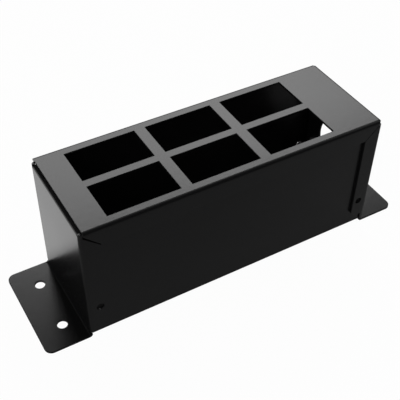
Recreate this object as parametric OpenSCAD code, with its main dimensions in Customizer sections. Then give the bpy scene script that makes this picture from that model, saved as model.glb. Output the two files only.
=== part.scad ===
// Folded sheet-steel housing for six snap-in outlet modules, open below, with a foot at each end.
// Millimetres, +Z up, +X towards the end with the cable opening.
// The origin is at the middle of the footprint, on the surface that the feet stand on.

/* [Housing] */
// Length between the outer faces of the two ends
length = 170; // [160:1:240]
// Width over the folded lips and tabs
width = 60; // [58:0.5:80]
// Height from the underside of the feet to the top
height = 73.5; // [62:0.5:100]
// Thickness of the sheet steel
sheet = 1.2; // [0.8:0.1:1.5]
// Inside radius of every fold
fold_r = 0.6; // [0.3:0.1:1]
// Clearance where one shell slips over the other
fit_gap = 0.4; // [0.1:0.05:0.5]

/* [Module openings] */
// Number of openings along the length
column_count = 3; // [1:1:3]
// Number of openings across the width
row_count = 2; // [1:1:2]
// Length of one opening
opening_l = 38.1; // [28:0.1:42]
// Width of one opening
opening_w = 22.3; // [14:0.1:23]
// Bar between two openings along the length
bar_l = 6; // [3:0.1:9]
// Bar between two openings across the width
bar_w = 4.5; // [3:0.1:6]
// First opening, measured from the left end
first_opening = 15.8; // [12:0.2:20]

/* [Lips and tabs] */
// Setback of the top's free edge from the left end's outer face
top_setback = 1.6; // [1.4:0.1:2]
// Depth of the lips that the top folds down over the long walls
lip = 10.2; // [7:0.2:14]
// Width of the tabs that the right end folds round onto the long walls
tab = 9.6; // [9:0.1:12]
// Reach of the hidden flange that the left end folds in under the top
flange = 10; // [6:0.5:11]
// Upright gap at the mitre between a lip and a tab
mitre_gap = 0.9; // [0.4:0.1:1.5]
// Upright gap between a lip's left mitre and the notch in the wall behind it, beside the wall's fold
notch_gap = 2.6; // [1.5:0.1:3]
// The same gap at the other end of the mitre
notch_gap_end = 2; // [1.2:0.1:3]
// Upright gap between a foot and the mitre of a tab
tab_lift = 1.5; // [1:0.1:3]
// Width of the relief slot between a tab and its fold, just above the foot
slot_w = 1.5; // [1:0.1:1.8]
// Height of that slot's upper end
slot_top = 8.6; // [7:0.1:10]
// Height of the long walls' lower edges above the surface
wall_lift = 2.4; // [2.2:0.1:5]

/* [Feet] */
// Reach of each foot from the end that it is folded from
foot_l = 23.2; // [18:0.2:32]
// Setback of the feet from the outer faces of the lips, on each side
foot_setback = 1.4; // [0.8:0.1:4]
// Radius of the feet's outer corners
foot_corner_r = 4; // [2:0.2:7]
// Diameter of the fixing holes in the feet
foot_hole_d = 5.5; // [3.5:0.1:7]
// Distance between the two fixing holes of a foot
foot_hole_pitch = 30; // [20:0.5:36]
// Fixing holes, measured outwards from the end's outer face
foot_hole_out = 9.6; // [7:0.1:14]

/* [Holes in the walls] */
// Diameter of the screw holes in the long walls
screw_hole_d = 4; // [2.5:0.1:4.5]
// Screw holes of the left end, measured inwards from its outer face
screw_hole_in_left = 6.8; // [5:0.1:9]
// Screw holes of the right end, through tab and wall, measured the same way
screw_hole_in_right = 6; // [5:0.1:6.6]
// Height of the screw holes
screw_hole_z = 19.5; // [17:0.1:30]
// Diameter of the cable opening in the right end
cable_opening_d = 32.5; // [20:0.5:40]
// Height of the middle of the cable opening
cable_opening_z = 35.2; // [30:0.2:38]

/* [Hidden] */
paint = [0.1, 0.1, 0.105];
// Facets of a full circle
round_fn = 72;
// How far every cut runs past the sheet, and how far the plates of one blank lap where they join
overrun = 1;
lap = 2;
// Flat strip left between a tab's fold and its relief slot, and the slits beside the flange
slot_strip = 0.9;
slit = 0.6;

left = -length / 2;
right = length / 2;
fold_outer = fold_r + sheet;
// Upright stretch between the folds at the two edges of an end
end_leg = height - 2 * fold_outer;
// Outer faces of the long walls, which the lips and tabs cover
wall_half = width / 2 - sheet - fit_gap;
lip_half = width / 2;
foot_half = width / 2 - foot_setback;
flange_top = height - sheet - fit_gap;
pitch_l = opening_l + bar_l;
pitch_w = opening_w + bar_w;

top_shell();
wall_shell();

// Top, its two lips, the right end, its two tabs and the right foot: one folded blank
module top_shell() {
    color(paint)
    difference() {
        union() {
            top_and_lips();
            right_end();
            tabs();
            foot();
        }
        module_openings();
        cable_opening();
        screw_holes(screw_hole_in_right);
        both_sides() relief_slot();
        foot_holes();
    }
}

// The two long walls, the left end between them, its hidden flange and the left foot: one folded blank
module wall_shell() {
    color(paint)
    difference() {
        // Drawn with its end at the right, and mirrored to the left
        mirror([1, 0, 0]) {
            both_sides() long_wall();
            wall_end();
            inner_flange();
            foot();
        }
        screw_holes(screw_hole_in_right);
        mirror([1, 0, 0]) screw_holes(screw_hole_in_left);
        mirror([1, 0, 0]) foot_holes();
    }
}

// Top with its folds and lips, from its free edge at the left to the right end's fold, mitred at both ends
module top_and_lips() {
    intersection() {
        both_sides()
            translate([left, lip_half - fold_outer, height - fold_outer])
            rotate([90, 0, 90])
            linear_extrude(length)
            bend(lip_half, lip);
        run_along_y(lip_half + overrun)
            polygon([
                [left + top_setback, height + overrun],
                [left + top_setback, height - fold_outer],
                [left + lip, height - lip],
                [right - lip, height - lip],
                [right - fold_outer, height - fold_outer],
                [right - fold_outer, height + overrun]
            ]);
    }
}

// Right end between its tabs, with its folds to the top and to the foot
module right_end() {
    run_along_y(lip_half - fold_outer) {
        translate([right - fold_outer, height - fold_outer])
            bend(lap, end_leg);
        foot_bend(lap, end_leg);
    }
}

// Tabs with their folds round the right end, mitred above and below
module tabs() {
    fold_low = fold_outer + tab_lift;
    fold_high = height - fold_outer - mitre_gap;
    intersection() {
        both_sides()
            translate([right - fold_outer, lip_half - fold_outer, 0])
            linear_extrude(height)
            bend(tab, lap);
        run_along_y(lip_half + overrun)
            polygon([
                [right + overrun, fold_low],
                [right - fold_outer, fold_low],
                [right - tab, tab + tab_lift],
                [right - tab, height - tab - mitre_gap],
                [right - fold_outer, fold_high],
                [right + overrun, fold_high]
            ]);
    }
}

// Back wall and its upright fold: the end's leg stops below the flange, the wall at the top's fold
// and the fold itself in the corner under the bent edge of the top
module long_wall() {
    wall_leg = length - 2 * fold_outer;
    difference() {
        union() {
            wall_run(flange_top - fold_outer) bend(wall_leg, wall_half);
            wall_run(height - fold_outer) bend(wall_leg, 0);
        }
        corner_notch();
    }
    wall_run(height - fold_outer + fold_r / 4) bend(0, 0);
}

// Notch in the wall's upper corner, beside its fold: it lets the sheet fold and follows the lip's mitre
module corner_notch() {
    slant = lip - fold_outer;
    run_along_y(lip_half)
        polygon([
            [right - fold_outer, height + overrun],
            [right - fold_outer, height - fold_outer - notch_gap],
            [right - fold_outer - slant, height - lip - notch_gap_end],
            [right - fold_outer - slant, height + overrun]
        ]);
}

// Runs a section up from the back wall's lower edge to a given height
module wall_run(up_to) {
    translate([right - fold_outer, wall_half - fold_outer, wall_lift])
        linear_extrude(up_to - wall_lift)
        children();
}

// Flat of the wall shell's end, from the flange down to the foot's fold
module wall_end() {
    run_along_y(wall_half - fold_outer)
        foot_bend(lap, flange_top - 2 * fold_outer);
}

// Flange that the wall shell's end folds in under the top, with a slit on each side of it
module inner_flange() {
    run_along_y(wall_half - fold_outer - slit)
        translate([right - fold_outer, flange_top - fold_outer])
        bend(flange - fold_outer, lap);
}

// Right foot with its fold and its rounded outer corners
module foot() {
    tip = right + foot_l;
    run_along_y(foot_half)
        foot_bend(foot_l - fold_r - foot_corner_r, 0);
    translate([tip - 2 * foot_corner_r, -foot_half + foot_corner_r, 0])
        cube([2 * foot_corner_r, 2 * (foot_half - foot_corner_r), sheet]);
    both_sides()
        translate([tip - foot_corner_r, -foot_half + foot_corner_r, 0])
        cylinder(r = foot_corner_r, h = sheet, $fn = round_fn);
}

// Grid of openings, centred across the width
module module_openings() {
    grid_w = row_count * pitch_w - bar_w;
    for (column = [0 : column_count - 1])
        for (row = [0 : row_count - 1])
            translate([
                left + first_opening + column * pitch_l,
                -grid_w / 2 + row * pitch_w,
                height - sheet - overrun
            ])
            cube([opening_l, opening_w, sheet + 2 * overrun]);
}

// Cable opening in the right end
module cable_opening() {
    translate([right - sheet - overrun, 0, cable_opening_z])
        rotate([0, 90, 0])
        cylinder(d = cable_opening_d, h = sheet + 2 * overrun, $fn = round_fn);
}

// Screw holes near the right end, through both long sides
module screw_holes(inwards) {
    translate([right - inwards, width / 2 + overrun, screw_hole_z])
        rotate([90, 0, 0])
        cylinder(d = screw_hole_d, h = width + 2 * overrun, $fn = round_fn);
}

// Round-ended slot beside the front tab's fold, open at the tab's lower mitre
module relief_slot() {
    slot_x = right - fold_outer - slot_strip - slot_w / 2;
    slot_r = slot_w / 2;
    translate([slot_x, -lip_half + sheet + fit_gap / 2, 0])
        rotate([90, 0, 0]) {
            translate([0, slot_top - slot_r, 0])
                cylinder(r = slot_r, h = sheet + overrun, $fn = round_fn);
            translate([-slot_r, fold_outer, 0])
                cube([slot_w, slot_top - slot_r - fold_outer, sheet + overrun]);
        }
}

// Fixing holes of the right foot
module foot_holes() {
    for (side = [-1, 1])
        translate([right + foot_hole_out, side * foot_hole_pitch / 2, -overrun])
        cylinder(d = foot_hole_d, h = sheet + 2 * overrun, $fn = round_fn);
}

// A piece on the front side, and its mirror image at the back
module both_sides() {
    children();
    mirror([0, 1, 0]) children();
}

// Runs a section drawn in X and Z along Y, over the same length on both sides
module run_along_y(half) {
    translate([0, half, 0])
        rotate([90, 0, 0])
        linear_extrude(2 * half)
        children();
}

// Section of the fold from the right end to its foot, with one leg along the foot and one up the end
module foot_bend(leg_out, leg_up) {
    translate([right + fold_r, fold_outer])
        rotate(180)
        bend(leg_out, leg_up);
}

// Section of a bent sheet: the middle of its arc is at the origin, and its legs run along -X and -Y
module bend(leg_x, leg_y) {
    intersection() {
        difference() {
            circle(r = fold_outer, $fn = round_fn);
            circle(r = fold_r, $fn = round_fn);
        }
        square(fold_outer);
    }
    if (leg_x > 0)
        translate([-leg_x, fold_r])
        square([leg_x, sheet]);
    if (leg_y > 0)
        translate([fold_r, -leg_y])
        square([sheet, leg_y]);
}
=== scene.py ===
"""Finish, studio and camera for a folded sheet-steel housing with a satin black powder coat."""

import math

import bpy
from mathutils import Matrix, Vector


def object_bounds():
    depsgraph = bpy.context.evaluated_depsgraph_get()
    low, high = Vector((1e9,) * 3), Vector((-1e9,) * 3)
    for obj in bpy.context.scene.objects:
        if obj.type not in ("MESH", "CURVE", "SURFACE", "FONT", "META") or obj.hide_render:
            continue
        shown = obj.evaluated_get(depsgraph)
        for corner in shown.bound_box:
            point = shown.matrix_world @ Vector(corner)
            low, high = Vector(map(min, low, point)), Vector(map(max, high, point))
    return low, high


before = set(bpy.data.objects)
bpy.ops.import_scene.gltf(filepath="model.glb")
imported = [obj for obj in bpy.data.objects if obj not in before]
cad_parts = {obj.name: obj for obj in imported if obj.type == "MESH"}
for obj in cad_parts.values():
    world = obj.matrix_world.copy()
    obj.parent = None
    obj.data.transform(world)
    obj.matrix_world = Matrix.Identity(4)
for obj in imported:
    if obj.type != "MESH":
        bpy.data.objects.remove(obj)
cad_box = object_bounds()

# Camera, in metres, degrees and millimetres
CAMERA_AT = Vector((-0.16335, -0.26130, 0.32121))
CAMERA_AIM = Vector((-0.00831, -0.00247, 0.037))
CAMERA_ROLL = 1.227
LENS = 71.153
SENSOR = 36.0
SHIFT = (0.00264, 0.00124)

# Powder coat of the two shells; the edge radius only softens the shading of sharp edges
COAT_COLOUR = (0.006, 0.006, 0.0062)
COAT_ROUGHNESS = {"top_shell": 0.18, "wall_shell": 0.25}
COAT_SPECULAR = 0.27
EDGE_RADIUS = 0.0003
EDGE_SAMPLES = 6

# Slow variation of the coat: noise scale and detail, the colour's two factors and the change of roughness
SLOW_SCALE = 22.0
SLOW_DETAIL = 3.0
COLOUR_FACTORS = (0.85, 1.15)
ROUGHNESS_CHANGE = 0.03

# Bumps of the coat, shallow waves and then a fine grain: noise scale and detail, strength, depth in metres
COAT_BUMPS = (
    (260.0, 1.0, 1.0, 0.00002),
    (2400.0, 2.0, 0.15, 0.00004),
)

# Softbox behind the housing and its dimmer upper part, in degrees: up from +Y as seen along X, then
# aside towards +X; each range has the blur of its two ends, and the tilt lifts the edges towards +X
SOFTBOX_RISE, SOFTBOX_RISE_BLUR = (30, 47), (14, 1)
UPPER_RISE, UPPER_RISE_BLUR = (47, 88), (1, 15)
SOFTBOX_TILT = 0.09
SOFTBOX_SIDE, SOFTBOX_SIDE_BLUR = (4, 42), (1, 18)
SOFTBOX_STRENGTH, UPPER_STRENGTH = 5.8, 0.6

# Soft fills from both sides: azimuth from +Y towards +X, elevation and spread in degrees, then strength
FILLS = (
    (250, 28, 50, 1.5),
    (95, 25, 38, 1.3),
)

# Strength of the rest of the studio
WORLD_STRENGTH = 0.06

# White floor, and how much of it is plain white to the camera and in reflections; in reflections it carries
# painted light and shade: dim before the housing as its painted shadow, bright behind it as painted light,
# and a painted contact shadow, dark under the feet and for a short way beside them
FLOOR_HALF = 3.0
FLOOR_COLOUR = (0.9, 0.9, 0.9)
CAMERA_GLOW = 0.97
GLOSSY_GLOW = 0.9
DIM_Y, DIM_GLOW = 0.02, 0.2
BRIGHT_Y, BRIGHT_GLOW = 0.04, 1.15
SIDE_SHADE, SHADE_SHARE = 0.025, 0.04

# Painted shade: a dark sheet on the floor standing in for the shadow under the open housing: its extent
# along X and Y, its height and its colour
PAINTED_SHADE_X = (-0.084, 0.084)
PAINTED_SHADE_Y = (-0.026, 0.0304)
PAINTED_SHADE_Z = 0.0002
PAINTED_SHADE_COLOUR = (0.05, 0.05, 0.05)

WHITE = (1.0, 1.0, 1.0, 1.0)


class Nodes:
    """Short calls for building a node tree."""

    def __init__(self, tree):
        self.tree = tree
        tree.nodes.clear()

    def add(self, kind, links=None, **values):
        """Adds a node; links maps inputs to outputs or plain values, and values sets its properties."""
        node = self.tree.nodes.new(kind)
        for name, value in values.items():
            setattr(node, name, value)
        for name, value in (links or {}).items():
            socket = node.inputs[name]
            if isinstance(value, bpy.types.NodeSocket):
                self.tree.links.new(value, socket)
            else:
                socket.default_value = value
        return node

    def math(self, operation, first, second=0.0):
        """Result of one sum."""
        return self.add("ShaderNodeMath", {0: first, 1: second}, operation=operation).outputs[0]

    def ramp(self, value, start, end, low=0.0, high=1.0):
        """Soft step from low to high while the value goes from start to end."""
        step = self.add("ShaderNodeMapRange", {
            "Value": value,
            "From Min": start,
            "From Max": end,
            "To Min": low,
            "To Max": high,
        }, interpolation_type="SMOOTHSTEP")
        return step.outputs["Result"]

    def white_to_camera(self, strength):
        """One for what the camera sees directly, and the given strength in all other light."""
        mix = self.add("ShaderNodeMix", {
            "Factor": self.add("ShaderNodeLightPath").outputs["Is Camera Ray"],
            "A": strength,
            "B": 1.0,
        }, data_type="FLOAT")
        return mix.outputs["Result"]


def add_camera():
    data = bpy.data.cameras.new("camera")
    data.lens = LENS
    data.sensor_width = SENSOR
    data.shift_x, data.shift_y = SHIFT
    camera = bpy.data.objects.new("camera", data)
    bpy.context.scene.collection.objects.link(camera)
    turn = (CAMERA_AIM - CAMERA_AT).to_track_quat("-Z", "Y").to_matrix()
    turn = turn @ Matrix.Rotation(math.radians(CAMERA_ROLL), 3, "Z")
    camera.matrix_world = Matrix.Translation(CAMERA_AT) @ turn.to_4x4()
    bpy.context.scene.camera = camera


def coat_material(name, roughness):
    """Satin black powder coat: fine grain, shallow waves, slow variation in gloss and colour, soft edges."""
    material = bpy.data.materials.new(name)
    material.use_nodes = True
    nodes = Nodes(material.node_tree)
    place = nodes.add("ShaderNodeTexCoord").outputs["Object"]
    slow = nodes.add("ShaderNodeTexNoise", {
        "Vector": place,
        "Scale": SLOW_SCALE,
        "Detail": SLOW_DETAIL,
    }).outputs["Fac"]
    darker, lighter = [(*[factor * c for c in COAT_COLOUR], 1.0) for factor in COLOUR_FACTORS]
    colour = nodes.add("ShaderNodeMix", {"Factor": slow, "A": darker, "B": lighter}, data_type="RGBA")
    gloss = nodes.add("ShaderNodeMapRange", {
        "Value": slow,
        "To Min": roughness - ROUGHNESS_CHANGE,
        "To Max": roughness + ROUGHNESS_CHANGE,
    })
    normal = nodes.add("ShaderNodeBevel", {"Radius": EDGE_RADIUS}, samples=EDGE_SAMPLES).outputs["Normal"]
    for scale, detail, strength, depth in COAT_BUMPS:
        noise = nodes.add("ShaderNodeTexNoise", {"Vector": place, "Scale": scale, "Detail": detail})
        normal = nodes.add("ShaderNodeBump", {
            "Strength": strength,
            "Distance": depth,
            "Height": noise.outputs["Fac"],
            "Normal": normal,
        }).outputs["Normal"]
    shader = nodes.add("ShaderNodeBsdfPrincipled", {
        "Base Color": colour.outputs["Result"],
        "Roughness": gloss.outputs["Result"],
        "Specular IOR Level": COAT_SPECULAR,
        "Normal": normal,
    })
    nodes.add("ShaderNodeOutputMaterial", {"Surface": shader.outputs["BSDF"]})
    return material


def dress_nodes():
    for name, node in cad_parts.items():
        node.data.materials.clear()
        node.data.materials.append(coat_material(f"{name}_coat", COAT_ROUGHNESS[name]))


def band(nodes, angle, limits, blurs):
    """One between two limits in degrees and nothing outside, with soft ends; the angle is in radians."""
    first, last = limits
    first_blur, last_blur = blurs
    up = nodes.ramp(angle, math.radians(first - first_blur), math.radians(first + first_blur))
    down = nodes.ramp(angle, math.radians(last - last_blur), math.radians(last + last_blur), 1.0, 0.0)
    return nodes.math("MULTIPLY", up, down)


def softbox(nodes, direction):
    """Long softbox with a dimmer upper part, placed by the angle about X and the angle aside."""
    part = nodes.add("ShaderNodeSeparateXYZ", {"Vector": direction}).outputs
    rise = nodes.math("ARCTAN2", part["Z"], part["Y"])
    rise = nodes.math("SUBTRACT", rise, nodes.math("MULTIPLY", part["X"], SOFTBOX_TILT))
    side = band(nodes, nodes.math("ARCSINE", part["X"]), SOFTBOX_SIDE, SOFTBOX_SIDE_BLUR)
    lower = nodes.math("MULTIPLY", band(nodes, rise, SOFTBOX_RISE, SOFTBOX_RISE_BLUR), SOFTBOX_STRENGTH)
    upper = nodes.math("MULTIPLY", band(nodes, rise, UPPER_RISE, UPPER_RISE_BLUR), UPPER_STRENGTH)
    return nodes.math("MULTIPLY", nodes.math("ADD", lower, upper), side)


def fill_light(nodes, direction, azimuth, elevation, spread, strength):
    """Soft round patch of light in the sky."""
    turn = Matrix.Rotation(math.radians(-azimuth), 3, "Z") @ Matrix.Rotation(math.radians(elevation), 3, "X")
    middle = turn @ Vector((0, 1, 0))
    cosine = nodes.add("ShaderNodeVectorMath", {0: direction, 1: middle}, operation="DOT_PRODUCT")
    return nodes.ramp(cosine.outputs["Value"], math.cos(math.radians(spread)), 1.0, 0.0, strength)


def add_world():
    """White to the camera, and a softbox and weaker fills in a dark studio to everything else."""
    world = bpy.data.worlds.new("studio")
    bpy.context.scene.world = world
    world.use_nodes = True
    nodes = Nodes(world.node_tree)
    direction = nodes.add("ShaderNodeTexCoord").outputs["Generated"]
    light = nodes.math("ADD", softbox(nodes, direction), WORLD_STRENGTH)
    for fill in FILLS:
        light = nodes.math("ADD", light, fill_light(nodes, direction, *fill))
    sky = nodes.add("ShaderNodeBackground", {"Color": WHITE, "Strength": nodes.white_to_camera(light)})
    nodes.add("ShaderNodeOutputWorld", {"Surface": sky.outputs["Background"]})


def add_plane(name, along_x, along_y, height):
    """Adds a level rectangle that isn't part of the object, and returns the nodes of its material."""
    corners = [(along_x[i], along_y[j], height) for i, j in ((0, 0), (1, 0), (1, 1), (0, 1))]
    mesh = bpy.data.meshes.new(name)
    mesh.from_pydata(corners, [], [(0, 1, 2, 3)])
    plane = bpy.data.objects.new(name, mesh)
    bpy.context.scene.collection.objects.link(plane)
    material = bpy.data.materials.new(name)
    material.use_nodes = True
    mesh.materials.append(material)
    return Nodes(material.node_tree)


def floor_painted_light_and_shade(nodes):
    """Painted light and shade of the floor in reflections, from its place: a painted shadow dim before the
    housing, painted light bright behind it, and a painted contact shadow dark at the feet.
    """
    place = nodes.add("ShaderNodeNewGeometry").outputs["Position"]
    part = nodes.add("ShaderNodeSeparateXYZ", {"Vector": place}).outputs
    reach_x, reach_y, _ = cad_box[1]
    # Painted contact shadow: dark in reflections under the feet and for a short way beside them
    painted_shadow_beside = nodes.ramp(
        nodes.math("ABSOLUTE", part["X"]), reach_x, reach_x + SIDE_SHADE, SHADE_SHARE, 1.0)
    before_or_behind = nodes.math("GREATER_THAN", nodes.math("ABSOLUTE", part["Y"]), reach_y)
    clear = nodes.math("MAXIMUM", painted_shadow_beside, before_or_behind)
    # Painted shadow before the housing and painted light behind it, along Y
    painted_light_and_shade_along_y = nodes.ramp(part["Y"], DIM_Y, BRIGHT_Y, DIM_GLOW, BRIGHT_GLOW)
    return nodes.math("MULTIPLY", painted_light_and_shade_along_y, clear)


def add_floor():
    """White floor that keeps a soft shadow."""
    span = (-FLOOR_HALF, FLOOR_HALF)
    nodes = add_plane("floor", span, span, 0.0)
    rays = nodes.add("ShaderNodeLightPath")
    camera = nodes.math("MULTIPLY", rays.outputs["Is Camera Ray"], CAMERA_GLOW)
    glossy = nodes.math("MULTIPLY", rays.outputs["Is Glossy Ray"], GLOSSY_GLOW)
    diffuse = nodes.add("ShaderNodeBsdfDiffuse", {"Color": (*FLOOR_COLOUR, 1.0)})
    # The floor's painted light and shade show only in reflections; the camera sees the floor white
    strength = nodes.white_to_camera(floor_painted_light_and_shade(nodes))
    glow = nodes.add("ShaderNodeEmission", {"Color": WHITE, "Strength": strength})
    mixed = nodes.add("ShaderNodeMixShader", {
        0: nodes.math("ADD", camera, glossy),
        1: diffuse.outputs["BSDF"],
        2: glow.outputs["Emission"],
    })
    nodes.add("ShaderNodeOutputMaterial", {"Surface": mixed.outputs["Shader"]})


def add_underside():
    """Painted shade: a dark sheet on the floor, within the housing's footprint, standing in for the shadow
    under the open housing.
    """
    nodes = add_plane("underside", PAINTED_SHADE_X, PAINTED_SHADE_Y, PAINTED_SHADE_Z)
    # Painted shade: a dark diffuse colour where the floor under the housing lies in shadow
    dark = nodes.add("ShaderNodeBsdfDiffuse", {"Color": (*PAINTED_SHADE_COLOUR, 1.0)})
    nodes.add("ShaderNodeOutputMaterial", {"Surface": dark.outputs["BSDF"]})


bpy.context.scene.view_settings.view_transform = "Standard"
add_camera()
dress_nodes()
add_world()
add_floor()
add_underside()
